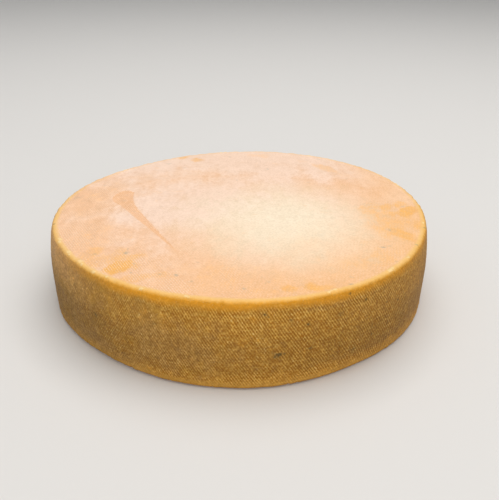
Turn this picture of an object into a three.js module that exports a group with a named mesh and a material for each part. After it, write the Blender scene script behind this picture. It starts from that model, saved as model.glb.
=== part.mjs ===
// A whole wheel of washed-rind mountain cheese, pressed in a round form and aged lying flat.
// Paste and rind formed together as one piece, so the wheel is one closed solid.
// Millimetres, +Z up. The origin is the middle of the flat underside, and Z is the wheel's axis.

import * as THREE from 'three';

// Heights
const HEIGHT = 70;           // underside to the flat middle of the top
const TOP_FALL = 0.8;        // how far the top has sunk where it meets the rim
const BELLY_HEIGHT = 34;     // level of the widest ring of the side

// Radii
const BELLY_RADIUS = 163;    // widest ring, where the paste has bulged a little as it aged
const RIM_RADIUS = 160;      // side where it meets the rounded top rim
const HEEL_RADIUS = 160.5;   // side where it meets the rounded bottom edge
const TOP_FLAT_RADIUS = 110; // flat middle of the top, where another cheese can stand

// Edges
const RIM_ROUND = 2.5;       // radius of the top rim
const HEEL_ROUND = 4;        // radius of the bottom edge

// Facets
const FACETS_AROUND = 96;    // a multiple of four, so the widest points lie on the X and Y axes
const FACETS_PER_CURVE = 4;  // on each stretch of the side and of the top

const RIND_COLOUR = '#dcae6f';

// Half of the wheel's cross-section, from the middle of the underside out and up to the
// middle of the top.
function wheelProfile() {
  const rimHeight = HEIGHT - TOP_FALL;
  const shoulderHeight = rimHeight - RIM_ROUND;
  const quarterTurn = Math.PI / 2;

  const profile = new THREE.Path();
  profile.moveTo(0, 0);
  profile.lineTo(HEEL_RADIUS - HEEL_ROUND, 0);
  profile.absarc(HEEL_RADIUS - HEEL_ROUND, HEEL_ROUND, HEEL_ROUND, -quarterTurn, 0);
  profile.quadraticCurveTo(
    BELLY_RADIUS, (HEEL_ROUND + BELLY_HEIGHT) / 2,
    BELLY_RADIUS, BELLY_HEIGHT,
  );
  profile.quadraticCurveTo(
    BELLY_RADIUS, (BELLY_HEIGHT + shoulderHeight) / 2,
    RIM_RADIUS, shoulderHeight,
  );
  profile.absarc(RIM_RADIUS - RIM_ROUND, shoulderHeight, RIM_ROUND, 0, quarterTurn);
  profile.quadraticCurveTo(
    (TOP_FLAT_RADIUS + RIM_RADIUS) / 2, HEIGHT,
    TOP_FLAT_RADIUS, HEIGHT,
  );
  profile.lineTo(0, HEIGHT);
  return profile.getPoints(FACETS_PER_CURVE);
}

function makeWheel() {
  const geometry = new THREE.LatheGeometry(wheelProfile(), FACETS_AROUND);
  const rind = new THREE.MeshStandardMaterial({
    color: RIND_COLOUR,
    roughness: 0.7,
    metalness: 0,
  });
  const wheel = new THREE.Mesh(geometry, rind);
  wheel.name = 'cheese_wheel';
  // A lathe turns its profile about Y, so the wheel is tipped to bring its axis upright.
  wheel.rotation.x = Math.PI / 2;
  return wheel;
}

const part = new THREE.Group();
part.add(makeWheel());

export default part;
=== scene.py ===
import math

import bpy
import numpy as np
from mathutils import Matrix, Vector


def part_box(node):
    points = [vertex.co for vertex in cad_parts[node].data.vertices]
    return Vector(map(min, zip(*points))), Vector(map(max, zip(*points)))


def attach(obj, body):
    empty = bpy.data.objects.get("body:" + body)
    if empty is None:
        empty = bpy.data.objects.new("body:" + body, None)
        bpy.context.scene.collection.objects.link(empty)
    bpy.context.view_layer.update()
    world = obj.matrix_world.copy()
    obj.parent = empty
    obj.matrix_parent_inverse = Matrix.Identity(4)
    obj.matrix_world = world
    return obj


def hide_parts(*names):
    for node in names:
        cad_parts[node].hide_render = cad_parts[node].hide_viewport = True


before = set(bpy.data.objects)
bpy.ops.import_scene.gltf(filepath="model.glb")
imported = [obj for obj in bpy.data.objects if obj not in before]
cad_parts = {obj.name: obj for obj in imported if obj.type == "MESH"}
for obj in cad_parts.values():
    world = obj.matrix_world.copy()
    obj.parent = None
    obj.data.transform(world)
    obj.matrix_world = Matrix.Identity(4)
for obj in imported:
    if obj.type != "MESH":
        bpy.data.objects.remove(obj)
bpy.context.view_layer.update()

MM = 0.001

# ---- The wheel's section, worked out from the size of the CAD wheel ----
low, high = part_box("cheese_wheel")
HEIGHT = (high.z - low.z) / MM
WIDEST = (high.x - low.x) / 2 / MM

BELLY_RADIUS = WIDEST - 1.9  # mean radius of the widest ring
BELLY_HEIGHT = 0.49 * HEIGHT
RIM_RADIUS = BELLY_RADIUS - 3.3  # side just under the rim
HEEL_RADIUS = BELLY_RADIUS - 0.9
RIM_ROUND = 2.6
HEEL_ROUND = 3.4
RIM_STEPS = 6  # rings round the rim and round the heel
HEEL_STEPS = 7
RIM_MIDDLE = 45  # turn on the rim's round where the distance from the rim is 0
BULGE_ABOVE = 2.2  # powers by which the side falls away above and below the belly
BULGE_BELOW = 2.0
TOP_FALL = 0.8  # the top's middle stands this much over its edge
TOP_FLAT_RADIUS = 100
TOP_DEPTH = 3  # marks on the top reach points down to this far below it
UNDER_SINK = 0.12  # how far the underside sinks between the places it rests on

# Waves around the wheel, as (number of waves, height, direction of a crest). They fade towards the
# middle by a power of the radius.
OUT_OF_ROUND = [(2, 2.95, 51), (3, 2.1, 58), (5, 0.35, 20), (9, 0.2, 75)]
ROUNDNESS_FADE = 1.5

# Places where the foot spreads or draws in, as (direction, half-width, mm outwards)
FOOT_SWELLS = [
    (-130, 26, -2.6), (-97, 26, 0.5), (-57, 34, -3.8), (40, 36, -1.4), (98, 30, -2.4), (165, 34, -1.8),
]
FOOT_SWELL_TOP = 24

# ---- The cheese cloth's imprint: two crossing families of ridges and faint level rows ----
RIDGES = 480  # diagonal ridges around the side
RIDGE_RISE = 3.32  # height over which a ridge moves on by one ridge
RIDGE_DEPTH = 0.17  # half the height from groove to crest
ROW_PITCH = 3.1  # height between the faint level rows
# Where the imprint is deepest, where both families show and where it is nearly worn away, each as
# (direction, half-width)
CLEAR_SIDES = [(-57, 22), (158, 26)]
CROSSED_SIDES = [(-132, 40), (12, 24), (128, 30)]
SMOOTH_SIDES = [(-18, 34), (72, 16), (196, 18)]
# Direction and pitch of the two sets of fine lines on the flat faces
TOP_THREADS = (29, 1.76)
TOP_CROSS_THREADS = (-13, 2.3)

# ---- Mesh density: columns around the side, and the spacing of rings on each stretch ----
SIDE_COLUMNS = 4 * RIDGES
SIDE_ROW = 0.55
TOP_RING = 1.35
LIP_ZONE = 7.0
UNDER_RING = 2.6
FEWEST_COLUMNS = 30
CLOSEST_COLUMNS = 0.62  # least share of the spacing that a ring's columns stand apart

# The flat map that the rind's colours can be baked to: the side in rows above two discs
SIDE_MAP_ROWS = 3
SIDE_MAP_PITCH = 0.168
SIDE_MAP_SCALE = 0.0021
DISC_MAP_RADIUS = 0.238
DISC_MAP_MIDDLES = (0.25, 0.75)
MAP_EDGE = 0.008
MAP_RIM_MARGIN = 0.8

# ---- Camera, as turns in degrees and lengths in metres, and its lens in mm ----
SENSOR = 36
LENS = 46.8
CAMERA_DISTANCE = 0.5768
CAMERA_LIFT = 25.76
CAMERA_YAW = 0.76
CAMERA_PITCH = -0.65
CAMERA_ROLL = 0.49

# ---- Marks on the top, in X and Y, and on the side ----
# A long scrape in the shape of a golf tee. Its outline is (distance from the tip, sideways).
SCRAPE_TIP = (-48, -88)
SCRAPE_DIRECTION = 119.4
SCRAPE_DEPTH = 0.3
SCRAPE_REACH = 9  # the distance to its outline is worked out up to this far
SCRAPE_OUTLINE = [
    (0, 0), (25, -1.2), (45, -2.0), (69, -3.5), (94, -5.0), (108, -6.0), (117, -8.5), (125, -7.2),
    (131, -3.8), (136, 2.0), (139, 8.0), (137, 13.0), (130, 15.2), (119, 9.6), (106, 6.2),
    (94, 5.0), (69, 3.5), (45, 2.0), (25, 1.2),
]

# Folds of the cloth that left a faint raised line: start, end, sideways bow, height
TOP_FOLDS = [
    ((-122, 66), (-30, 96), 7, 0.22),
    ((-118, 40), (-72, 86), -4, 0.14),
    ((70, 118), (132, 22), 6, 0.2),
    ((-96, -70), (-150, -18), 5, 0.12),
]

# Orange smears: X, Y, half-length, half-width, direction, strength
TOP_SMEARS = [
    (-89, -111, 11, 7, 30, 1.0), (-98, -98, 20, 11, 50, 0.6), (-86, -96, 13, 5, 20, 0.7),
    (-112, -88, 18, 7, 60, 0.6), (-118, -62, 30, 12, 70, 0.35), (-70, -124, 18, 5, 15, 0.6),
    (141, -9, 20, 9, 35, 0.85), (130, 4, 18, 8, 30, 0.7), (129, -55, 13, 8, 120, 0.75),
    (120, -28, 34, 20, 100, 0.55), (147, -36, 16, 6, 75, 0.65), (32, -139, 7, 4, 10, 0.7),
    (44, -137, 6, 5, 0, 0.75), (55, -138, 6, 4, 20, 0.7), (10, -142, 14, 4, 0, 0.4),
    (-48, 129, 6, 6, 0, 0.8), (-62, 138, 7, 4, 25, 0.7), (-128, 30, 26, 10, 80, 0.35),
    (-20, -118, 42, 16, -5, 0.35), (84, 96, 16, 6, 130, 0.6), (20, 140, 16, 6, 175, 0.45),
    (100, -96, 24, 9, 40, 0.45), (66, -112, 26, 10, 20, 0.3), (-136, -10, 18, 7, 95, 0.35),
]

# Grey-green specks: X, Y, radius, strength
TOP_SPECKS = [
    (-86.6, -88, 2.8, 1.0), (-109, -89, 3.2, 0.55), (-152, -35, 1.8, 0.9), (-78, -105, 1.2, 0.6),
    (-78, -118, 1.1, 0.7), (-46.6, -122, 2.2, 0.9), (-58, -121, 2.0, 0.4), (-35, -131, 1.8, 0.5),
    (-33, -104, 1.8, 0.4), (-33.7, -34, 1.1, 0.6), (-23, -33, 1.2, 0.4), (-13, -59, 1.4, 0.35),
    (-104, 13, 3.0, 0.35), (-92, -9.5, 2.2, 0.4), (-148, 21, 5.5, 0.3), (-71, -1, 1.8, 0.35),
    (0, -140, 2.6, 0.7), (120, -48, 2.3, 1.0), (107, -79, 1.9, 0.9), (113, -76.5, 2.2, 0.45),
    (141, 4, 2.0, 0.7), (146, 3.5, 1.6, 0.6), (122, -19, 3.2, 0.3), (150, -42, 1.7, 0.8),
    (136, -75, 1.9, 0.6), (112, -102, 1.6, 0.5), (69, -113, 1.4, 0.5), (75, -124, 1.8, 0.6),
    (73, -134, 1.8, 0.75), (17, -131, 2.2, 0.5), (-78, 118, 6.0, 0.3), (-130, 52, 1.6, 0.5),
    (-60, 103, 3.0, 0.25), (60, 60, 1.7, 0.6), (24, 96, 2.1, 0.7), (98, 70, 1.8, 0.6),
    (42, 22, 1.3, 0.5), (-6, 66, 1.6, 0.5), (76, 128, 2.2, 0.7), (-14, 138, 1.8, 0.6),
]

# Dark specks on the side: direction, height, radius, strength
SIDE_SPECKS = [
    (-85.1, 60.4, 1.9, 0.9), (-84.2, 58.6, 1.3, 0.7), (-74.4, 50, 1.9, 0.75), (-73.9, 31, 1.7, 1.0),
    (-81.7, 29, 2.4, 1.0), (-82.6, 27.6, 1.6, 0.8), (-45.5, 45, 2.0, 0.9), (-50.6, 49, 1.4, 0.8),
    (-58.2, 58, 1.6, 0.8), (-55.5, 27, 2.0, 0.9), (-49.6, 31, 1.7, 0.75), (-63, 66, 1.4, 0.8),
    (-79, 55.5, 1.3, 0.6), (-87, 18, 3.4, 0.3), (-56, 35, 4.8, 0.3), (-61.4, 20, 5.0, 0.4),
    (-66, 53, 4.6, 0.35), (-130.4, 38, 3.8, 0.55), (-101, 23, 1.0, 1.0), (-140, 52, 2.0, 0.5),
    (-112, 47, 1.5, 0.5), (-152, 30, 2.6, 0.5), (-36, 24, 1.6, 0.6), (-28, 50, 1.8, 0.6),
]

# Rosier and greyer patches of the side: direction, height, half-width in degrees, half-height, strength
SIDE_BLUSHES = [
    (-109, 31, 15, 22, 0.75), (-50, 54, 14, 13, 0.3), (-150, 42, 20, 30, 0.7), (-139, 12, 16, 11, 0.9),
    (-123, 9, 8, 8, 0.7), (-32, 30, 14, 26, 0.2), (-70, 62, 10, 5, 0.5), (18, 36, 24, 20, 0.8),
    (61, 20, 18, 15, 0.7), (104, 44, 26, 18, 0.8), (152, 26, 20, 20, 0.8), (176, 52, 18, 12, 0.6),
]

# Crumbly flakes where paste broke off the rim: direction, distance in from the rim, size
RIM_FLAKES = [
    (-155.4, 3.2, 1.9), (-153.8, 2.0, 1.4), (-146.4, 3.0, 1.8), (-145, 1.6, 1.3), (-139.4, 3.4, 2.0),
    (-137.8, 1.8, 1.5), (-132, 1.6, 1.5), (-127, 2.0, 1.3), (-116, 1.4, 1.4), (-104, 1.7, 1.2),
    (-68.4, 2.2, 1.5), (-66.8, 3.2, 1.2), (-48, 1.8, 1.9), (-46.5, 3.0, 1.6), (-38, 1.5, 1.3),
    (-12, 2.2, 1.5), (21, 2.6, 1.7), (22.5, 1.5, 1.2), (64, 2.2, 1.6), (97, 1.8, 1.5),
    (99, 3.0, 1.3), (141, 2.4, 1.7), (172, 2.0, 1.5),
]

# Folds pinched into the heel as the wheel settled: direction, half-width, depth, height
HEEL_PINCHES = [
    (-120.6, 1.6, 0.9, 9), (-128.5, 2.2, 0.5, 7), (-138, 2.0, 0.6, 8), (-109, 1.2, 0.35, 5),
    (-98, 1.1, 0.4, 4), (-79, 1.3, 0.5, 4), (-76.5, 0.9, 0.35, 4), (-61, 1.0, 0.35, 4),
    (-47, 1.3, 0.6, 6), (-20, 1.8, 0.5, 7), (14, 1.4, 0.6, 6), (43, 2.0, 0.5, 8),
    (88, 1.4, 0.6, 6), (119, 1.8, 0.7, 8), (163, 1.5, 0.5, 6), (205, 1.7, 0.6, 7),
]

# How many more specks are drawn at random on the rest of the side and underneath
HIDDEN_SIDE_SPECKS = 26
HIDDEN_SIDE = (-15, 195)
UNDER_SPECKS = 24
UNDER_SPECK_REACH = 150
SPECK_SEED = 61

# ---- Colours, linear ----
PEACH = (0.88, 0.535, 0.315)
BLOOM = (0.90, 0.67, 0.53)
# Colour of the painted highlight: the top's creamy sheen and reflected light
PAINTED_SHEEN_CREAM = (0.92, 0.82, 0.64)
# Pale of the cloth's crests on the top, also used for the painted glints
TOP_CREST_AND_GLINT = (0.93, 0.72, 0.56)
ORANGE = (0.88, 0.43, 0.065)
SCRAPED = (0.86, 0.47, 0.23)
CRUMB_CREAM = (0.92, 0.69, 0.35)
# Colour of the painted highlight along the rounded rim
PAINTED_RIM_HIGHLIGHT = (0.88, 0.55, 0.17)
BAND_ORANGE = (0.74, 0.31, 0.012)
CREST_TAN = (0.68, 0.40, 0.08)
# Brown of the cloth's grooves, also used for the painted contact shadow at the foot
GROOVE_AND_SHADOW_BROWN = (0.33, 0.125, 0.005)
GREY_TAN = (0.33, 0.18, 0.042)
OCHRE = (0.46, 0.24, 0.02)
ROSE_TAN = (0.48, 0.26, 0.072)
SIDE_BLOOM = (0.52, 0.34, 0.12)
# Colour of the painted glints on the side's cloth beads
PAINTED_GLINT_CREAM = (0.77, 0.56, 0.23)
HEEL_GOLD = (0.63, 0.335, 0.06)
SPECK_GREEN = (0.085, 0.062, 0.022)
TOP_SPECK_GREY = (0.36, 0.35, 0.27)

# Middles of the bloom and of the painted highlight on the top, a creamy patch of sheen and reflected light
BLOOM_MIDDLE = (-48, 0)
PAINTED_SHEEN_MIDDLE = (38, -34)

# Where the side's colours change, as distances down from the rim
BAND_FADE = (8.5, 1.0)
HEEL_FADE = (58, 69)
# Painted contact shadow along the foot
PAINTED_FOOT_SHADOW_FADE = (65.6, 68.8)

# The rind's shine, and the heights of what is too fine for the mesh
RIND_ROUGHNESS = 0.66
FLAT_FACE_SMOOTHER = 0.1
RIND_SPECULAR = 0.22
PEEL_HEIGHT = 0.035
GRAIN_HEIGHT = 0.03
TOP_CLOTH_HEIGHT = 0.045

# ---- Studio, in metres and watts ----
FLOOR_RINGS = (0.02, 0.5, 1.5, 3.0)  # radii of the flat floor
WALL_CURVE = 2.0
WALL_TOP = 3.0
FLOOR_STEPS = 96
FLOOR_COLOUR = (0.72, 0.71, 0.69)
FLOOR_ROUGHNESS = 0.9
FLOOR_SPECULAR = 0.1
# Soft lights, as (name, place, size, watts, colour)
SOFTBOXES = [
    ("overhead_softbox", (0.25, 0.2, 2.2), (2.4, 2.0), 41, (1.0, 0.97, 0.94)),
    ("front_softbox", (0.15, -2.3, 1.2), (1.6, 1.2), 18, (1.0, 0.98, 0.96)),
]
LIGHT_TARGET = (0, 0, 0.03)
AIR_COLOUR = (0.95, 0.97, 1.0)
AIR_STRENGTH = 0.4


# ---- Small helpers ----
def add_object(name, data):
    """A new object in the scene."""
    made = bpy.data.objects.new(name, data)
    bpy.context.scene.collection.objects.link(made)
    return made


def ease(x):
    """A smooth step from 0 to 1 as x goes from 0 to 1."""
    x = np.clip(x, 0, 1)
    return x * x * (3 - 2 * x)


def between(x, start, end):
    """0 before start, 1 after end, smooth from one to the other."""
    return ease((x - start) / (end - start))


def hump(x, half_width):
    """A smooth hump of height 1 at x = 0 that ends at the half-width."""
    return ease(1 - np.abs(x) / half_width)


def turn_to(angle, direction):
    """Degrees from a direction, from -180 to 180."""
    return (angle - direction + 180) % 360 - 180


def lumps(places, size, seed):
    """Smooth noise from -1 to 1 with lumps of about the given size, at places in mm."""
    cells = 24
    grid = np.random.default_rng(seed).uniform(-1, 1, (cells, cells, cells))
    scaled = places.T / size + seed * 0.37
    cell = np.floor(scaled)
    share = ease(scaled - cell)
    cell = cell.astype(int) % cells
    steps = (cell, (cell + 1) % cells)
    total = 0
    for a, b, c in np.ndindex(2, 2, 2):
        value = grid[steps[a][0], steps[b][1], steps[c][2]]
        for side, along in zip((a, b, c), share):
            value = value * (along if side else 1 - along)
        total = total + value
    return total


def outline_distance(points, outline):
    """Distance to a closed outline, negative inside it."""
    nearest = np.full(len(points), 1e9)
    inside = np.zeros(len(points), bool)
    for a, b in zip(outline, np.roll(outline, -1, axis=0)):
        along = b - a
        share = np.clip((points - a) @ along / (along @ along), 0, 1)
        nearest = np.minimum(nearest, np.linalg.norm(points - a - share[:, None] * along, axis=1))
        crosses = (a[1] > points[:, 1]) != (b[1] > points[:, 1])
        rise = b[1] - a[1] if b[1] != a[1] else 1.0
        at = a[0] + (points[:, 1] - a[1]) * along[0] / rise
        inside ^= crosses & (points[:, 0] < at)
    return np.where(inside, -nearest, nearest)


# ---- The wheel's rings ----
def side_radius(z):
    """The side's radius at a height, bulging to the belly."""
    above = (z - BELLY_HEIGHT) / (HEIGHT - TOP_FALL - RIM_ROUND - BELLY_HEIGHT)
    below = (BELLY_HEIGHT - z) / (BELLY_HEIGHT - HEEL_ROUND)
    loss_above = (BELLY_RADIUS - RIM_RADIUS) * np.clip(above, 0, 1) ** BULGE_ABOVE
    loss_below = (BELLY_RADIUS - HEEL_RADIUS) * np.clip(below, 0, 1) ** BULGE_BELOW
    return BELLY_RADIUS - loss_above - loss_below


def side_place(direction, z):
    """The point of the side at a direction and height."""
    around = math.radians(direction)
    r = float(side_radius(z))
    return (r * math.cos(around), r * math.sin(around), z)


def top_height(r):
    """The top's height at a radius, falling a little towards the rim."""
    return HEIGHT - TOP_FALL * between(r, TOP_FLAT_RADIUS, RIM_RADIUS)


def fitting_columns(r, spacing):
    """Columns for a ring of radius r, halved from the side's until they stand far enough apart."""
    columns = SIDE_COLUMNS
    while columns > FEWEST_COLUMNS and 2 * math.pi * r / columns < CLOSEST_COLUMNS * spacing:
        columns //= 2
    return columns


def section_rings():
    """Every ring as (radius, height, columns), from the top's middle out and round to the underside's."""
    edge = RIM_RADIUS - RIM_ROUND
    shoulder = HEIGHT - TOP_FALL - RIM_ROUND
    foot = HEEL_RADIUS - HEEL_ROUND
    rings = []

    lip_start = edge - LIP_ZONE
    for r in np.linspace(TOP_RING, lip_start, round(lip_start / TOP_RING)):
        rings.append((r, top_height(r), fitting_columns(r, TOP_RING)))
    for r in np.linspace(lip_start, edge, round(LIP_ZONE / SIDE_ROW) + 1)[1:]:
        rings.append((r, top_height(r), SIDE_COLUMNS))

    for turn in np.radians(np.linspace(90, 0, RIM_STEPS + 1)[1:]):
        r = edge + RIM_ROUND * math.cos(turn)
        rings.append((r, shoulder + RIM_ROUND * math.sin(turn), SIDE_COLUMNS))
    rows = round((shoulder - HEEL_ROUND) / SIDE_ROW)
    for z in np.linspace(shoulder, HEEL_ROUND, rows + 1)[1:]:
        rings.append((side_radius(z), z, SIDE_COLUMNS))
    for turn in np.radians(np.linspace(0, -90, HEEL_STEPS + 1)[1:]):
        r = foot + HEEL_ROUND * math.cos(turn)
        rings.append((r, HEEL_ROUND * (1 + math.sin(turn)), SIDE_COLUMNS))

    for r in np.linspace(foot, UNDER_RING, round(foot / UNDER_RING))[1:]:
        wanted = fitting_columns(r, UNDER_RING)
        rings.append((r, 0.0, max(wanted, rings[-1][2] // 2)))
    return rings


class Wheel:
    """The wheel's points before its unevenness: places, the way out, and distance from the rim."""

    def __init__(self):
        rings = section_rings()
        section = np.array([(r, z) for r, z, _ in rings])
        steps = np.linalg.norm(np.diff(section, axis=0), axis=1)
        travelled = np.concatenate([[0], np.cumsum(steps)])
        rim_edge = RIM_RADIUS - RIM_ROUND + RIM_ROUND * math.cos(math.radians(RIM_MIDDLE))
        low_ring = section[:, 1] < HEIGHT / 2
        nearest = np.argmin(np.where(low_ring, np.inf, np.abs(section[:, 0] - rim_edge)))
        travelled -= travelled[nearest]
        tangent = np.gradient(section, travelled, axis=0)
        tangent /= np.linalg.norm(tangent, axis=1)[:, None]

        self.columns = [n for _, _, n in rings]
        self.starts = np.concatenate([[0], np.cumsum(self.columns)])
        turns = np.concatenate([np.arange(n) / n for n in self.columns])
        per_point = np.repeat(np.arange(len(rings)), self.columns)
        # The last two points are the middles of the top and of the underside.
        self.angle = np.concatenate([turns * 360, [0, 0]])
        self.radius = np.concatenate([section[per_point, 0], [0, 0]])
        self.z = np.concatenate([section[per_point, 1], [HEIGHT, 0]])
        self.out_r = np.concatenate([-tangent[per_point, 1], [0, 0]])
        self.out_z = np.concatenate([tangent[per_point, 0], [1, -1]])
        reach = [-section[0, 0] + travelled[0], travelled[-1] + section[-1, 0]]
        self.from_rim = np.concatenate([travelled[per_point], reach])
        self.heel_end = travelled[np.argmax(section[:, 1] <= 1e-6)]
        around = np.radians(self.angle)
        self.x = self.radius * np.cos(around)
        self.y = self.radius * np.sin(around)
        self.places = np.stack([self.x, self.y, self.z], axis=1)
        self.on_top = self.z > HEIGHT - TOP_DEPTH


# ---- The wheel's unevenness, as heights in mm along the way out ----
def nearness(wheel, sides):
    """1 in each of the given directions, falling to 0 at its half-width."""
    share = np.zeros(len(wheel.z))
    for direction, half_width in sides:
        share = np.maximum(share, hump(turn_to(wheel.angle, direction), half_width))
    return share


def cloth_imprint(wheel):
    """The cloth's crossing ridges, level rows and grain, from about -1 in a groove to 1 on a crest."""
    places = wheel.places
    wobble = 0.8 * lumps(places, 26, 11) + 0.7 * lumps(places, 8, 12) + 0.85 * lumps(places, 3.0, 16)
    cross_wobble = 0.9 * lumps(places, 19, 17) + 0.8 * lumps(places, 3.8, 18)
    row_wobble = 1.6 * lumps(places, 21, 9) + 0.9 * lumps(places, 4.2, 10)
    around = np.radians(wheel.angle) * RIDGES
    rise = 2 * math.pi * wheel.z / RIDGE_RISE
    falling = np.cos(around + rise + wobble)
    rising = np.cos(around - rise + cross_wobble)
    rows = np.cos(2 * math.pi * wheel.z / ROW_PITCH + row_wobble)

    crossed = nearness(wheel, CROSSED_SIDES)
    worn = nearness(wheel, SMOOTH_SIDES)
    clear = nearness(wheel, CLEAR_SIDES)
    patchy = 0.82 + 0.45 * lumps(places, 15, 13) + 0.5 * lumps(places, 4.0, 14)
    ridges = (0.76 - 0.3 * crossed) * falling + (0.3 + 0.2 * crossed) * rising + 0.16 * rows
    ridges *= (1 - 0.75 * worn) * (1 + 0.3 * clear) * np.clip(patchy, 0.1, 1.4)
    return ridges + (0.45 + 0.2 * crossed) * lumps(places, 1.5, 19)


def cloth_share(wheel):
    """How much of the imprint shows: none on the rim's band, the top or the heel."""
    ragged = 1.6 * lumps(wheel.places, 12, 15)
    under_band = between(wheel.from_rim + ragged, 1.6, 7)
    over_heel = between(wheel.z + ragged, 1.5, 7)
    return under_band * over_heel


def scrape_distance(wheel):
    """Distance to the outline of the scrape on the top, negative inside it."""
    along = math.radians(SCRAPE_DIRECTION)
    x = wheel.x - SCRAPE_TIP[0]
    y = wheel.y - SCRAPE_TIP[1]
    u = x * math.cos(along) + y * math.sin(along)
    v = x * math.sin(along) - y * math.cos(along)
    points = np.stack([u, v], axis=1)
    outline = np.array(SCRAPE_OUTLINE, float)
    above_low = points > outline.min(axis=0) - SCRAPE_REACH
    below_high = points < outline.max(axis=0) + SCRAPE_REACH
    near = wheel.on_top & np.all(above_low & below_high, axis=1)
    distance = np.full(len(x), float(SCRAPE_REACH))
    distance[near] = outline_distance(points[near], outline)
    return np.clip(distance, -SCRAPE_REACH, SCRAPE_REACH)


def fold_heights(wheel):
    """Faint raised lines that folds of the cloth left on the top."""
    total = np.zeros(len(wheel.x))
    flat = np.stack([wheel.x, wheel.y], axis=1)
    for start, end, bow, height in TOP_FOLDS:
        start, end = np.array(start, float), np.array(end, float)
        along = (end - start) / np.linalg.norm(end - start)
        across = np.array([-along[1], along[0]])
        share = (flat - start) @ along / np.linalg.norm(end - start)
        side = (flat - start) @ across - 4 * bow * share * (1 - share)
        ends = between(share, -0.02, 0.15) * between(share, 1.02, 0.8)
        crease = hump(side, 2.4) + 0.5 * np.where(side > 0, hump(side, 12), 0)
        total += height * crease * ends
    return total * (wheel.z > HEIGHT / 2)


def top_heights(wheel):
    """The top's shallow unevenness, its folds, the scrape and the raised lip along its edge."""
    places = wheel.places
    broad = 0.4 * lumps(places, 75, 21) + 0.14 * lumps(places, 27, 22) + 0.05 * lumps(places, 8, 23)
    scrape = -SCRAPE_DEPTH * between(-wheel.scrape, -0.3, 1.2) + 0.07 * hump(wheel.scrape - 0.9, 1.2)
    ragged = 0.55 + 0.45 * lumps(places, 7, 24) + 0.25 * lumps(places, 2.4, 25)
    lip = 0.2 * hump(wheel.from_rim + 3.2 + 0.5 * lumps(places, 9, 26), 2.8) * ragged
    on_top = between(wheel.from_rim, 0.5, -1.5)
    return on_top * (broad + scrape + fold_heights(wheel) + lip)


def rim_heights(wheel):
    """The rim's roughness and the crumbs that broke out of it."""
    places = wheel.places
    on_rim = hump(wheel.from_rim + 0.3, 4.5)
    rough = 0.34 * lumps(places, 5.5, 31) + 0.26 * lumps(places, 2.0, 32)
    total = on_rim * rough
    ragged = 1 + 0.5 * lumps(places, 1.5, 33) + 0.3 * lumps(places, 0.9, 34)
    wheel.crumb = np.zeros(len(wheel.x))
    for direction, inward, size in RIM_FLAKES:
        sideways = np.radians(turn_to(wheel.angle, direction)) * RIM_RADIUS
        inside = wheel.from_rim + inward
        reach = np.hypot(sideways / 1.5, inside)
        crumb = hump(reach / ragged, 1.5 * size)
        torn = hump(np.hypot(sideways - 0.6 * size, inside - 1.5) / ragged, 1.2 * size)
        total += 0.6 * crumb - 0.45 * torn
        wheel.crumb = np.maximum(wheel.crumb, crumb)
    return total


def side_heights(wheel):
    """The side's dents and lumps, the cloth's imprint, the heel's pinches and fine roughness."""
    places = wheel.places
    on_side = between(wheel.from_rim, 0.5, 6) * between(wheel.z, 0.4, 5)
    dents = 0.34 * lumps(places, 46, 41) + 0.13 * lumps(places, 15, 42) + 0.06 * lumps(places, 5, 43)
    grain = 0.05 * lumps(places, 1.5, 44) * (1 - 0.5 * wheel.cloth_share)
    total = on_side * (dents + grain + RIDGE_DEPTH * wheel.cloth * wheel.cloth_share)
    band = 0.25 * hump(wheel.from_rim - 5.5, 5)
    total += band * (0.5 + 0.5 * lumps(places, 30, 45))
    for direction, half_width, depth, height in HEEL_PINCHES:
        sideways = np.radians(turn_to(wheel.angle, direction)) * HEEL_RADIUS
        lean = sideways + 0.25 * (wheel.z - HEEL_ROUND)
        low_down = between(wheel.z, height, 0.3 * height) * (wheel.from_rim > 0)
        pinch = -depth * hump(lean, half_width) + 0.4 * depth * hump(lean - 2.2 * half_width, 2 * half_width)
        total += low_down * between(wheel.z, 0.0, 0.8) * pinch
    heel = hump(wheel.z - 2.5, 4) * (wheel.from_rim > 10)
    total += heel * (0.22 * lumps(places, 11, 46) + 0.12 * lumps(places, 3.5, 47))
    return total


def under_heights(wheel):
    """The underside sinks in a little between the places that it rests on."""
    places = wheel.places
    beneath = between(wheel.from_rim, wheel.heel_end, wheel.heel_end + 14)
    return -UNDER_SINK * beneath * (1 + lumps(places, 34, 51) * 0.6 + lumps(places, 9, 52) * 0.3)


def spot_field(wheel, spots, on_surface):
    """Ragged spots, each a small dark core in a faint halo."""
    field = np.zeros(len(wheel.x))
    shown = np.flatnonzero(on_surface)
    places = wheel.places[shown]
    ragged = 1 + 0.55 * lumps(places, 2.1, 62) + 0.45 * lumps(places, 1.1, 63)
    for place, radius, strength in spots:
        reach = np.linalg.norm(places - np.array(place), axis=1) * ragged
        spot = strength * (0.35 * hump(reach, 1.5 * radius) + 0.95 * hump(reach, 0.75 * radius))
        field[shown] = np.maximum(field[shown], spot)
    return field


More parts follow.
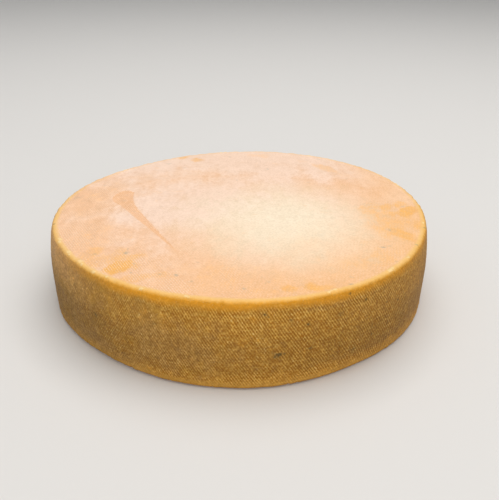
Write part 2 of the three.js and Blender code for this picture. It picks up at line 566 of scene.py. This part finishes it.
def speck_field(wheel):
    """Grey-green mould specks on the top and dark ones on the side, with others all round."""
    spots = [((x, y, HEIGHT - 0.5), r, s) for x, y, r, s in TOP_SPECKS]
    top = spot_field(wheel, spots, wheel.on_top)

    spots = [(side_place(direction, z), r, s) for direction, z, r, s in SIDE_SPECKS]
    rng = np.random.default_rng(SPECK_SEED)
    for _ in range(HIDDEN_SIDE_SPECKS):
        place = side_place(rng.uniform(*HIDDEN_SIDE), rng.uniform(8, HEIGHT - 6))
        spots.append((place, rng.uniform(1.0, 2.6), rng.uniform(0.35, 1)))
    side = spot_field(wheel, spots, (wheel.from_rim > 1) & (wheel.z > 0.5))

    spots = []
    for _ in range(UNDER_SPECKS):
        direction = rng.uniform(0, 2 * math.pi)
        reach = UNDER_SPECK_REACH * math.sqrt(rng.uniform())
        place = (reach * math.cos(direction), reach * math.sin(direction), 0)
        spots.append((place, rng.uniform(1.6, 3.4), rng.uniform(0.3, 0.9)))
    under = spot_field(wheel, spots, wheel.z < 1)
    return np.maximum(np.maximum(top, side), under)


def smear_field(wheel):
    """Orange smears on the top, soft and ragged, 0 to 1."""
    field = np.zeros(len(wheel.x))
    shortened = wheel.places * (1, 0.5, 1)
    ragged = 0.5 * lumps(shortened, 8, 71) + 0.4 * lumps(shortened, 3.2, 72)
    for x, y, length, width, direction, strength in TOP_SMEARS:
        around = math.radians(direction)
        dx, dy = wheel.x - x, wheel.y - y
        along = (dx * math.cos(around) + dy * math.sin(around)) / length
        across = (dy * math.cos(around) - dx * math.sin(around)) / width
        reach = np.hypot(along, across) + ragged
        field = np.maximum(field, strength * np.clip(1.6 - reach, 0, 1))
    return field * wheel.on_top


def blush_field(wheel):
    """Where the side is rosier and greyer, soft and ragged, 0 to 1."""
    ragged = 0.45 * lumps(wheel.places, 13, 81) + 0.35 * lumps(wheel.places, 4.5, 82)
    field = np.zeros(len(wheel.x))
    for direction, height, half_width, half_height, strength in SIDE_BLUSHES:
        across = turn_to(wheel.angle, direction) / half_width
        reach = np.hypot(across, (wheel.z - height) / half_height) + ragged
        field = np.maximum(field, strength * ease(1.35 - reach))
    return field * (wheel.from_rim > 0) * (wheel.z > 0.5)


def settle(wheel):
    """The wheel's final points in mm, with all of its unevenness."""
    wheel.scrape = scrape_distance(wheel)
    wheel.cloth = cloth_imprint(wheel)
    wheel.cloth_share = cloth_share(wheel)
    rise = top_heights(wheel) + rim_heights(wheel) + side_heights(wheel) + under_heights(wheel)
    out = np.zeros(len(wheel.x))
    for waves, height, crest in OUT_OF_ROUND:
        out += height * np.cos(waves * np.radians(wheel.angle - crest))
    low_down = between(wheel.z, FOOT_SWELL_TOP, 3)
    for direction, half_width, outwards in FOOT_SWELLS:
        out += outwards * low_down * hump(turn_to(wheel.angle, direction), half_width)
    outward = wheel.radius + out * (wheel.radius / BELLY_RADIUS) ** ROUNDNESS_FADE + wheel.out_r * rise
    upward = wheel.z + wheel.out_z * rise
    around = np.radians(wheel.angle)
    points = np.stack([outward * np.cos(around), outward * np.sin(around), upward], axis=1)
    points[:, 2] = np.maximum(points[:, 2], 0)
    points[:, 2] *= HEIGHT / points[:, 2].max()
    middle = (points.max(axis=0) + points.min(axis=0)) / 2
    points[:, :2] -= middle[:2]
    return points


# ---- The wheel's mesh ----
def strip_faces(start_a, n_a, start_b, n_b):
    """Faces between one ring and the next, as (points, turns) with a row for each face.

    A ring may have as many columns as the next, half as many or twice as many.
    """
    j = np.arange(min(n_a, n_b))

    def corner(start, n, step):
        return np.stack([start + step % n, step / n], axis=1)

    if n_a == n_b:
        faces = [[corner(start_a, n_a, j), corner(start_b, n_b, j),
                  corner(start_b, n_b, j + 1), corner(start_a, n_a, j + 1)]]
    elif n_b == 2 * n_a:
        here, there = corner(start_a, n_a, j), corner(start_a, n_a, j + 1)
        middle = corner(start_b, n_b, 2 * j + 1)
        faces = [[here, corner(start_b, n_b, 2 * j), middle], [here, middle, there],
                 [there, middle, corner(start_b, n_b, 2 * j + 2)]]
    else:
        here, there = corner(start_b, n_b, j), corner(start_b, n_b, j + 1)
        middle = corner(start_a, n_a, 2 * j + 1)
        faces = [[middle, corner(start_a, n_a, 2 * j), here], [middle, here, there],
                 [middle, there, corner(start_a, n_a, 2 * j + 2)]]
    return [np.stack(face, axis=1) for face in faces]


def cap_faces(start, n, middle, facing_up):
    """A fan of triangles between a small ring and the middle of a flat face."""
    j = np.arange(n)
    here = np.stack([start + j, j / n], axis=1)
    there = np.stack([start + (j + 1) % n, (j + 1) / n], axis=1)
    centre = np.stack([np.full(n, middle), (j + 0.5) / n], axis=1)
    order = [centre, here, there] if facing_up else [here, centre, there]
    return np.stack(order, axis=1)


def wheel_faces(wheel):
    """Every face in order, each as an array of (point, turn) corners."""
    count = len(wheel.x)
    groups = [cap_faces(0, wheel.columns[0], count - 2, True)]
    for a in range(len(wheel.columns) - 1):
        groups += strip_faces(wheel.starts[a], wheel.columns[a], wheel.starts[a + 1], wheel.columns[a + 1])
    groups.append(cap_faces(wheel.starts[-2], wheel.columns[-1], count - 1, False))
    return groups


def bake_map(wheel, points, turns):
    """Flat map places for one group's corners: the side in rows, and a disc for each flat face."""
    from_rim = wheel.from_rim[points]
    middle = from_rim.mean(axis=1)[:, None]
    on_side = (middle > -MAP_RIM_MARGIN) & (middle < wheel.heel_end)
    row = np.floor(turns.min(axis=1) * SIDE_MAP_ROWS + 1e-6)[:, None]
    row_share = turns * SIDE_MAP_ROWS - row
    side_u = MAP_EDGE + (1 - 2 * MAP_EDGE) * row_share
    side_v = 1 - MAP_EDGE - row * SIDE_MAP_PITCH - (from_rim + MAP_RIM_MARGIN) * SIDE_MAP_SCALE
    up = middle < 0
    centre_u = np.where(up, *DISC_MAP_MIDDLES)
    disc = DISC_MAP_RADIUS / BELLY_RADIUS * wheel.radius[points]
    around = turns * 2 * math.pi
    flat_u = centre_u + disc * np.cos(around) * np.where(up, 1, -1)
    flat_v = DISC_MAP_RADIUS + MAP_EDGE + disc * np.sin(around)
    u = np.where(on_side, side_u, flat_u)
    v = np.where(on_side, side_v, flat_v)
    return np.stack([u, v], axis=2)


def wheel_mesh(wheel, points):
    """One closed mesh through the wheel's final points, with its flat map."""
    corners, starts, maps = [], [], []
    total = 0
    for group in wheel_faces(wheel):
        index = group[:, :, 0].astype(int)
        sides = index.shape[1]
        corners.append(index.ravel())
        starts.append(total + sides * np.arange(len(index)))
        maps.append(bake_map(wheel, index, group[:, :, 1]).reshape(-1, 2))
        total += index.size
    starts = np.concatenate(starts)

    mesh = bpy.data.meshes.new("wheel_of_cheese")
    mesh.vertices.add(len(points))
    mesh.vertices.foreach_set("co", (points * MM).ravel())
    mesh.loops.add(total)
    mesh.loops.foreach_set("vertex_index", np.concatenate(corners))
    mesh.polygons.add(len(starts))
    mesh.polygons.foreach_set("loop_start", starts)
    mesh.update(calc_edges=True)
    mesh.shade_smooth()
    flat_map = mesh.uv_layers.new(name="OFBake")
    flat_map.data.foreach_set("uv", np.concatenate(maps).ravel())
    return mesh


def make_wheel():
    """The wheel in the row's frame, with the values by place that its rind needs."""
    wheel = Wheel()
    mesh = wheel_mesh(wheel, settle(wheel))
    fields = {
        "from_rim": wheel.from_rim,
        "cloth": wheel.cloth * wheel.cloth_share,
        "scrape": wheel.scrape,
        "smear": smear_field(wheel),
        "speck": speck_field(wheel),
        "crumb": wheel.crumb,
        "blush": blush_field(wheel),
    }
    for name, values in fields.items():
        attribute = mesh.attributes.new(name, "FLOAT", "POINT")
        attribute.data.foreach_set("value", values.astype(np.float32))
    return add_object("wheel_of_cheese", mesh)


# ---- Shader helpers ----
class Graph:
    """Short calls that add nodes to one material and join them. The functions below call it g."""

    def __init__(self, material):
        material.use_nodes = True
        self.tree = material.node_tree
        self.tree.nodes.clear()

    def node(self, kind, **settings):
        """A new node with some of its settings."""
        made = self.tree.nodes.new(kind)
        for name, value in settings.items():
            setattr(made, name, value)
        return made

    def feed(self, socket, value):
        """Joins an output to an input, or sets the input to a number, colour or vector."""
        if isinstance(value, bpy.types.NodeSocket):
            self.tree.links.new(value, socket)
        elif isinstance(value, tuple) and len(value) == 3 and socket.type == "RGBA":
            socket.default_value = (*value, 1)
        else:
            socket.default_value = value

    def math(self, operation, *values, clamp=False):
        made = self.node("ShaderNodeMath", operation=operation, use_clamp=clamp)
        for socket, value in zip(made.inputs, values):
            self.feed(socket, value)
        return made.outputs[0]

    def chain(self, operation, values):
        """One operation from value to value, in order."""
        total = values[0]
        for value in values[1:]:
            total = self.math(operation, total, value)
        return total

    def add(self, *values):
        return self.chain("ADD", values)

    def times(self, *values):
        return self.chain("MULTIPLY", values)

    def line(self, value, slope, start):
        """The value times the slope, plus the start."""
        return self.math("MULTIPLY_ADD", value, slope, start)

    def step(self, value, start, end):
        """0 where value is at start, 1 at end, smooth between."""
        made = self.node("ShaderNodeMapRange", interpolation_type="SMOOTHSTEP")
        self.feed(made.inputs["Value"], value)
        self.feed(made.inputs["From Min"], start)
        self.feed(made.inputs["From Max"], end)
        return made.outputs[0]

    def mix(self, share, a, b):
        """Colour a, with a share of colour b."""
        made = self.node("ShaderNodeMix", data_type="RGBA")
        self.feed(made.inputs[0], share)
        self.feed(made.inputs[6], a)
        self.feed(made.inputs[7], b)
        return made.outputs[2]

    def shade(self, colour, factor):
        """A colour made lighter or darker by a factor."""
        made = self.node("ShaderNodeVectorMath", operation="SCALE")
        self.feed(made.inputs[0], colour)
        self.feed(made.inputs["Scale"], factor)
        return made.outputs[0]

    def noise(self, where, size, detail=2.0, roughness=0.5, stretch=None):
        """Noise from about -1 to 1, stretched to that, with lumps of the given size in mm."""
        if stretch:
            made = self.node("ShaderNodeMapping")
            self.feed(made.inputs["Vector"], where)
            made.inputs["Scale"].default_value = stretch
            where = made.outputs[0]
        made = self.node("ShaderNodeTexNoise")
        self.feed(made.inputs["Vector"], where)
        made.inputs["Scale"].default_value = 1 / size
        made.inputs["Detail"].default_value = detail
        made.inputs["Roughness"].default_value = roughness
        centred = self.math("SUBTRACT", made.outputs["Fac"], 0.5)
        return self.times(centred, 3.2)

    def field(self, name):
        """One of the wheel's own values by place."""
        made = self.node("ShaderNodeAttribute", attribute_name=name)
        return made.outputs["Fac"]

    def reach(self, x, y, middle_x, middle_y):
        """Distance from a place on a flat face."""
        sideways = self.math("POWER", self.math("SUBTRACT", x, middle_x), 2.0)
        away = self.math("POWER", self.math("SUBTRACT", y, middle_y), 2.0)
        return self.math("SQRT", self.add(sideways, away))

    def stripes(self, where, direction, pitch, wobble):
        """Parallel stripes on the flat faces, from -1 to 1, across a direction in degrees."""
        around = math.radians(direction)
        wave = 2 * math.pi / pitch
        made = self.node("ShaderNodeVectorMath", operation="DOT_PRODUCT")
        self.feed(made.inputs[0], where)
        made.inputs[1].default_value = (wave * math.cos(around), wave * math.sin(around), 0)
        return self.math("SINE", self.add(made.outputs["Value"], wobble))


# ---- The rind ----
def top_cloth(g, place, x):
    """The fine imprint that the cloth left on both flat faces, from about -1 to 1."""
    wobble = g.add(g.times(g.noise(place, 22, 1), 1.5), g.times(g.noise(place, 4.5, 3), 1.3))
    cross_wobble = g.add(g.times(wobble, 1.2), g.times(g.noise(place, 2.6, 2), 1.2))
    fine = g.stripes(place, *TOP_THREADS, wobble)
    broad = g.stripes(place, *TOP_CROSS_THREADS, cross_wobble)
    left = g.step(g.add(x, g.times(wobble, 12)), 50, -70)
    threads = g.add(g.times(fine, g.line(left, 0.4, 0.5)),
                    g.times(broad, g.line(left, -0.1, 0.35)))
    patchy = g.step(g.add(g.noise(place, 30, 1), g.times(g.noise(place, 4, 2), 0.7)), -0.8, 0.9)
    return g.times(threads, g.line(patchy, 0.85, 0.15))


def top_colour(g, place, x, y, cloth):
    """Peach rind with a paler bloom, partly painted light towards the back, a creamy middle that is a
    painted highlight, orange smears and the darker scrape.
    """
    medium = g.noise(place, 22, 4, 0.65, stretch=(1.0, 0.7, 1.0))
    small = g.noise(place, 5.5, 4, 0.7, stretch=(1.0, 0.6, 1.0))
    fine = g.noise(place, 1.5, 2, 0.6)
    colour = top_ground(g, place, x, y, medium, small)
    colour = top_marks(g, colour, small, fine)
    return top_grain(g, colour, place, x, cloth, medium, small, fine)


def top_ground(g, place, x, y, medium, small):
    """The top's broad colours: peach, the bloom (paler towards the back by painted light), the creamy
    painted highlight and the warmer front and right.
    """
    left_bloom = g.times(g.step(g.reach(x, y, *BLOOM_MIDDLE), 80, 20), 1.1)
    left_peach = g.times(g.step(x, -95, -140), -0.7)
    uneven = g.add(g.noise(place, 85, 3, 0.55), g.times(medium, 0.8), g.times(small, 0.5))
    # The rind's own bloom in patches, made paler towards the back (the y term) as painted light from behind
    bloom_with_painted_back_light = g.step(g.add(uneven, g.times(y, 0.006), left_bloom, left_peach), -0.9, 1.0)
    colour = g.mix(bloom_with_painted_back_light, PEACH, BLOOM)

    # Painted highlight: a creamy patch of sheen and reflected light on the top
    painted_sheen_reach = g.add(g.reach(x, y, *PAINTED_SHEEN_MIDDLE), g.times(medium, 22), g.times(small, 10))
    painted_sheen = g.step(painted_sheen_reach, 112, 12)
    colour = g.mix(g.times(painted_sheen, 0.92), colour, PAINTED_SHEEN_CREAM)

    warm_place = g.add(g.times(x, 0.007), g.times(y, -0.0075), g.times(medium, 0.4), g.times(small, 0.3))
    warm = g.step(warm_place, 0.35, 1.9)
    colour = g.mix(g.times(warm, 0.3), colour, ORANGE)
    right_edge = g.step(g.add(x, g.times(medium, 14), g.times(small, 10)), 95, 150)
    return g.mix(g.times(right_edge, 0.26), colour, ORANGE)


def top_marks(g, colour, small, fine):
    """The orange smears and the long scrape."""
    smear = g.add(g.field("smear"), g.times(small, 0.32), g.times(fine, 0.16))
    colour = g.mix(g.times(g.step(smear, 0.2, 1.25), 0.92), colour, ORANGE)
    ragged = g.add(g.field("scrape"), g.times(fine, 0.5), g.times(small, 0.6))
    inside = g.step(ragged, 0.8, -0.8)
    return g.mix(g.times(inside, g.line(small, 0.16, 0.72)), colour, SCRAPED)


def top_grain(g, colour, place, x, cloth, medium, small, fine):
    """Small warm patches, grain and mottle, the cloth's pale crests and pale flecks that are painted glints.
    """
    peeling = g.step(g.add(g.noise(place, 13, 4, 0.7), g.times(fine, 0.2)), 0.25, 1.1)
    colour = g.mix(g.times(peeling, 0.32), colour, ORANGE)
    grainy = g.step(g.add(fine, g.times(small, 0.8), g.times(medium, 0.3)), 1.0, -1.0)
    colour = g.mix(g.times(grainy, g.line(g.step(x, -100, -20), 0.11, 0.02)), colour, ORANGE)
    streaky = g.line(g.step(x, -70, -130), 0.05, 0.075)
    mottle = g.add(0.985, g.times(medium, 0.035), g.times(small, streaky), g.times(fine, 0.1))
    colour = g.shade(colour, mottle)
    crests = g.step(g.add(cloth, g.times(fine, 0.6)), -0.1, 1.2)
    clearer = g.line(g.step(x, 60, -60), 0.2, 0.4)
    colour = g.mix(g.times(crests, clearer), colour, TOP_CREST_AND_GLINT)
    # Painted highlights: pale flecks of glint over the top
    painted_glints = g.step(g.add(g.noise(place, 2.4, 2, 0.5), g.times(medium, 0.4)), 0.75, 1.25)
    return g.mix(g.times(painted_glints, 0.6), colour, TOP_CREST_AND_GLINT)


def side_colour(g, place, x, from_rim):
    """The cloth-marked side with its orange band and golden heel, a painted contact shadow at the foot, and
    painted light and shade over it all.
    """
    broad = g.noise(place, 60, 2, 0.5)
    medium = g.noise(place, 17, 3, 0.6)
    small = g.noise(place, 4.5, 3, 0.65)
    down = g.add(from_rim, g.times(broad, 3), g.times(medium, 2))
    colour = cloth_colour(g, place, x, broad, medium, small)
    colour = side_zones(g, colour, x, from_rim, down, broad, medium, small)
    # The colour is scaled by painted light and shade and by the rind's grain
    return g.shade(colour, painted_side_light_and_grain(g, place, x, down, medium, small))


def cloth_colour(g, place, x, broad, medium, small):
    """Tan crests over brown grooves, greyer, more ochre, more orange or rosier in patches, with painted
    glints on the cloth's beads.
    """
    cloth = g.field("cloth")
    blush = g.field("blush")
    beads = g.noise(place, 1.7, 2, 0.6)
    crest = g.step(g.add(cloth, g.times(small, 0.35), g.times(beads, 0.9)), -0.95, 1.6)
    colour = g.mix(crest, GROOVE_AND_SHADOW_BROWN, CREST_TAN)
    leftwards = g.times(x, -0.011)
    greyed = g.step(g.add(broad, leftwards, g.times(medium, 0.6)), 0.1, 1.6)
    colour = g.mix(g.times(greyed, 0.6), colour, GREY_TAN)
    ochre = g.step(g.add(g.noise(place, 11, 3, 0.65), g.times(leftwards, 0.3)), 0.1, 1.2)
    colour = g.mix(g.times(ochre, 0.45), colour, OCHRE)
    patches = g.add(g.noise(place, 9, 3, 0.6), g.times(medium, 0.5))
    colour = g.mix(g.times(g.step(patches, 0.2, 1.2), 0.4), colour, BAND_ORANGE)
    rosy = g.add(g.times(blush, 0.6), g.times(g.step(patches, -0.2, -1.2), 0.4))
    colour = g.mix(rosy, colour, g.shade(ROSE_TAN, g.line(crest, 0.7, 0.6)))
    powdery = g.step(g.add(small, g.times(beads, 0.8), blush, g.times(leftwards, 0.3)), 0.8, 2.4)
    colour = g.mix(g.times(powdery, 0.36), colour, SIDE_BLOOM)
    # Painted highlights: pale glints on the crests of the cloth's beads
    painted_bead_glints = g.step(g.add(cloth, g.times(beads, 1.2), g.times(medium, 0.4)), 0.95, 1.9)
    return g.mix(g.times(painted_bead_glints, 0.62), colour, PAINTED_GLINT_CREAM)


def side_zones(g, colour, x, from_rim, down, broad, medium, small):
    """The orange band under the rim, a peach tint far left, the golden heel and a painted contact shadow at
    the foot.
    """
    ragged = g.add(from_rim, g.times(medium, 2.4), g.times(broad, 1.6), g.times(small, 1.4))
    leftmost = g.line(g.step(x, -135, -62), 0.66, 0.2)
    rightmost = g.line(g.step(x, 60, 135), -0.3, 1.0)
    band = g.times(g.step(ragged, *BAND_FADE), leftmost, rightmost)
    colour = g.mix(band, colour, BAND_ORANGE)
    peachy = g.times(g.step(x, -100, -155), g.step(down, 32, 6))
    colour = g.mix(g.times(peachy, 0.25), colour, PEACH)
    heel = g.step(g.add(from_rim, g.times(medium, 2.5), g.times(small, 1.5)), *HEEL_FADE)
    colour = g.mix(g.times(heel, 0.6), colour, HEEL_GOLD)
    # Painted contact shadow: the foot darkened where the wheel meets the floor
    foot = g.step(g.add(from_rim, g.times(small, 0.4)), *PAINTED_FOOT_SHADOW_FADE)
    return g.mix(g.times(foot, 0.75), colour, GROOVE_AND_SHADOW_BROWN)


def painted_side_light_and_grain(g, place, x, down, medium, small):
    """Painted light and shade on the side, with the rind's own grain: painted light at the rim and heel,
    painted shade round both ends and on the lower middle, grainy.
    """
    # Painted shade: the side darker round both ends
    away = g.step(g.math("ABSOLUTE", g.add(x, 20)), 25, 140)
    # Painted light near the rim, strongest at the left
    painted_rim_light_strength = g.add(0.08, g.times(g.step(x, -40, -140), 0.25), g.times(g.step(x, 60, 130), 0.06))
    painted_light_near_rim = g.times(g.step(down, 36, 8), painted_rim_light_strength)
    # Painted shade on the lower middle of the side
    low_down = g.times(g.step(down, 20, 38), g.step(down, 61, 52), -0.1)
    # Painted light near the heel, stronger at the right
    painted_light_near_heel = g.times(g.step(down, 53, 61), g.line(g.step(x, -20, 90), 0.1, 0.07))
    roughness = g.add(0.2, g.times(away, 0.14), g.times(g.step(x, -70, -140), 0.12))
    grain = g.times(g.noise(place, 1.3, 3, 0.7), roughness)
    uneven = g.add(grain, g.times(small, 0.1), g.times(medium, 0.05))
    return g.add(1.0, g.times(away, -0.19), painted_light_near_rim, low_down, painted_light_near_heel, uneven)


def rind_bump(g, place, cloth, on_flat):
    """Surface height in mm that is too fine for the mesh."""
    peel = g.times(g.noise(place, 2.2, 3, 0.6), PEEL_HEIGHT)
    grain = g.times(g.noise(place, 0.7, 2, 0.6), GRAIN_HEIGHT)
    imprint = g.times(cloth, on_flat, TOP_CLOTH_HEIGHT)
    bump = g.node("ShaderNodeBump")
    bump.inputs["Distance"].default_value = MM
    g.feed(bump.inputs["Height"], g.add(peel, grain, imprint))
    return bump.outputs["Normal"]


def make_rind():
    """The whole rind: its flat faces, rim, side and heel, all by place on the wheel."""
    material = bpy.data.materials.new("rind")
    g = Graph(material)
    scaled = g.node("ShaderNodeVectorMath", operation="SCALE")
    g.feed(scaled.inputs[0], g.node("ShaderNodeTexCoord").outputs["Object"])
    scaled.inputs["Scale"].default_value = 1 / MM
    place = scaled.outputs[0]
    parts = g.node("ShaderNodeSeparateXYZ")
    g.feed(parts.inputs[0], place)
    x, y, z = parts.outputs
    from_rim = g.field("from_rim")

    small = g.noise(place, 3.2, 3, 0.6)
    tiny = g.noise(place, 1.1, 2, 0.6)
    cloth = top_cloth(g, place, x)
    at_back = g.step(y, -20, 70)
    on_top = g.step(g.add(from_rim, g.times(small, 0.7), g.times(at_back, -1.6)), -0.4, -3.4)
    underneath = g.step(z, 1.2, 0.2)
    on_flat = g.math("MAXIMUM", on_top, underneath)

    side = side_colour(g, place, x, from_rim)
    top = top_colour(g, place, x, y, cloth)
    dull = g.mix(0.45, top, GREY_TAN)
    rim = g.step(g.math("ABSOLUTE", g.add(from_rim, 2.1, g.times(small, 0.8))), 3.8, 0.4)

    colour = g.mix(on_top, side, top)
    # Painted highlight: pale yellow along the rounded rim, weaker at the back
    painted_rim_highlight_share = g.add(0.7, g.times(at_back, -0.35), g.times(tiny, 0.12))
    colour = g.mix(g.times(rim, painted_rim_highlight_share), colour, PAINTED_RIM_HIGHLIGHT)
    gritty = g.times(rim, g.step(g.add(tiny, g.times(small, 0.5)), 0.5, 1.3))
    colour = g.mix(g.times(gritty, 0.5), colour, CRUMB_CREAM)
    crumbly = g.step(g.add(g.field("crumb"), g.times(g.noise(place, 0.9, 2, 0.6), 0.5)), 0.1, 0.9)
    colour = g.mix(g.times(crumbly, 0.75), colour, CRUMB_CREAM)
    colour = g.mix(g.times(underneath, g.step(z, 3.0, 0.0)), colour, dull)
    broken = g.add(0.9, g.times(tiny, 0.6), g.times(small, 0.25))
    shown = g.math("MULTIPLY", g.field("speck"), broken, clamp=True)
    mould = g.mix(on_top, SPECK_GREEN, TOP_SPECK_GREY)
    colour = g.mix(g.times(shown, g.line(on_top, -0.15, 0.8)), colour, mould)

    shader = g.node("ShaderNodeBsdfPrincipled")
    g.feed(shader.inputs["Base Color"], colour)
    rough = g.line(on_flat, -FLAT_FACE_SMOOTHER, RIND_ROUGHNESS)
    g.feed(shader.inputs["Roughness"], g.add(rough, g.times(small, 0.04)))
    shader.inputs["Specular IOR Level"].default_value = RIND_SPECULAR
    g.feed(shader.inputs["Normal"], rind_bump(g, place, cloth, on_flat))
    g.feed(g.node("ShaderNodeOutputMaterial").inputs["Surface"], shader.outputs[0])
    return material


# ---- Studio ----
def make_floor():
    """A pale floor that curves up into a wall far away on every side."""
    flat_radius = FLOOR_RINGS[-1]
    profile = [(r, 0.0) for r in FLOOR_RINGS]
    for turn in np.radians(np.linspace(-80, 0, 12)):
        profile.append((flat_radius + WALL_CURVE * math.cos(turn), WALL_CURVE + WALL_CURVE * math.sin(turn)))
    profile.append((flat_radius + WALL_CURVE, WALL_TOP))
    steps = FLOOR_STEPS
    around = np.arange(steps) * 2 * math.pi / steps
    points = [(0, 0, 0)]
    for r, z in profile:
        points += [(r * math.cos(turn), r * math.sin(turn), z) for turn in around]
    faces = [(0, 1 + j, 1 + (j + 1) % steps) for j in range(steps)]
    for ring in range(len(profile) - 1):
        a, b = 1 + ring * steps, 1 + (ring + 1) * steps
        faces += [(a + j, b + j, b + (j + 1) % steps, a + (j + 1) % steps) for j in range(steps)]
    mesh = bpy.data.meshes.new("studio_floor")
    mesh.from_pydata(points, [], faces)
    mesh.shade_smooth()
    floor = add_object("studio_floor", mesh)
    material = bpy.data.materials.new("floor_paper")
    g = Graph(material)
    shader = g.node("ShaderNodeBsdfPrincipled")
    shader.inputs["Base Color"].default_value = (*FLOOR_COLOUR, 1)
    shader.inputs["Roughness"].default_value = FLOOR_ROUGHNESS
    shader.inputs["Specular IOR Level"].default_value = FLOOR_SPECULAR
    g.feed(g.node("ShaderNodeOutputMaterial").inputs["Surface"], shader.outputs[0])
    mesh.materials.append(material)


def aim(thing, place, target, roll=0.0):
    """Puts a light or camera at a place, looking at a target, rolled about its own view."""
    direction = Vector(target) - Vector(place)
    turned = direction.to_track_quat("-Z", "Y").to_matrix().to_4x4()
    thing.matrix_world = Matrix.Translation(place) @ turned @ Matrix.Rotation(roll, 4, "Z")


def make_softbox(name, place, size, watts, colour):
    """A soft rectangular light that faces the wheel."""
    light = bpy.data.lights.new(name, "AREA")
    light.shape = "RECTANGLE"
    light.size, light.size_y = size
    light.energy = watts
    light.color = colour
    aim(add_object(name, light), place, LIGHT_TARGET)


def make_studio():
    """The floor, the soft lights and the pale air around them."""
    make_floor()
    for softbox in SOFTBOXES:
        make_softbox(*softbox)
    world = bpy.data.worlds.new("studio_air")
    world.use_nodes = True
    background = world.node_tree.nodes["Background"]
    background.inputs["Color"].default_value = (*AIR_COLOUR, 1)
    background.inputs["Strength"].default_value = AIR_STRENGTH
    bpy.context.scene.world = world
    bpy.context.scene.view_settings.view_transform = "Standard"


def make_camera():
    """Looks down at the wheel from in front, at the angle of CAMERA_LIFT."""
    lens = bpy.data.cameras.new("camera")
    lens.sensor_width = SENSOR
    lens.lens = LENS
    camera = add_object("camera", lens)
    lift = math.radians(CAMERA_LIFT)
    middle = Vector((0, 0, HEIGHT * MM / 2))
    place = middle + Vector((0, -math.cos(lift), math.sin(lift))) * CAMERA_DISTANCE
    forward = (middle - place).normalized()
    right = Vector((1, 0, 0))
    up = right.cross(forward)
    yaw, pitch = math.radians(CAMERA_YAW), math.radians(CAMERA_PITCH)
    forward = forward * math.cos(yaw) + right * math.sin(yaw)
    forward = forward * math.cos(pitch) + up * math.sin(pitch)
    aim(camera, place, place + forward, math.radians(CAMERA_ROLL))
    bpy.context.scene.camera = camera


make_camera()
make_studio()
wheel_of_cheese = make_wheel()
wheel_of_cheese.data.materials.append(make_rind())
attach(wheel_of_cheese, "root")
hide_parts("cheese_wheel")
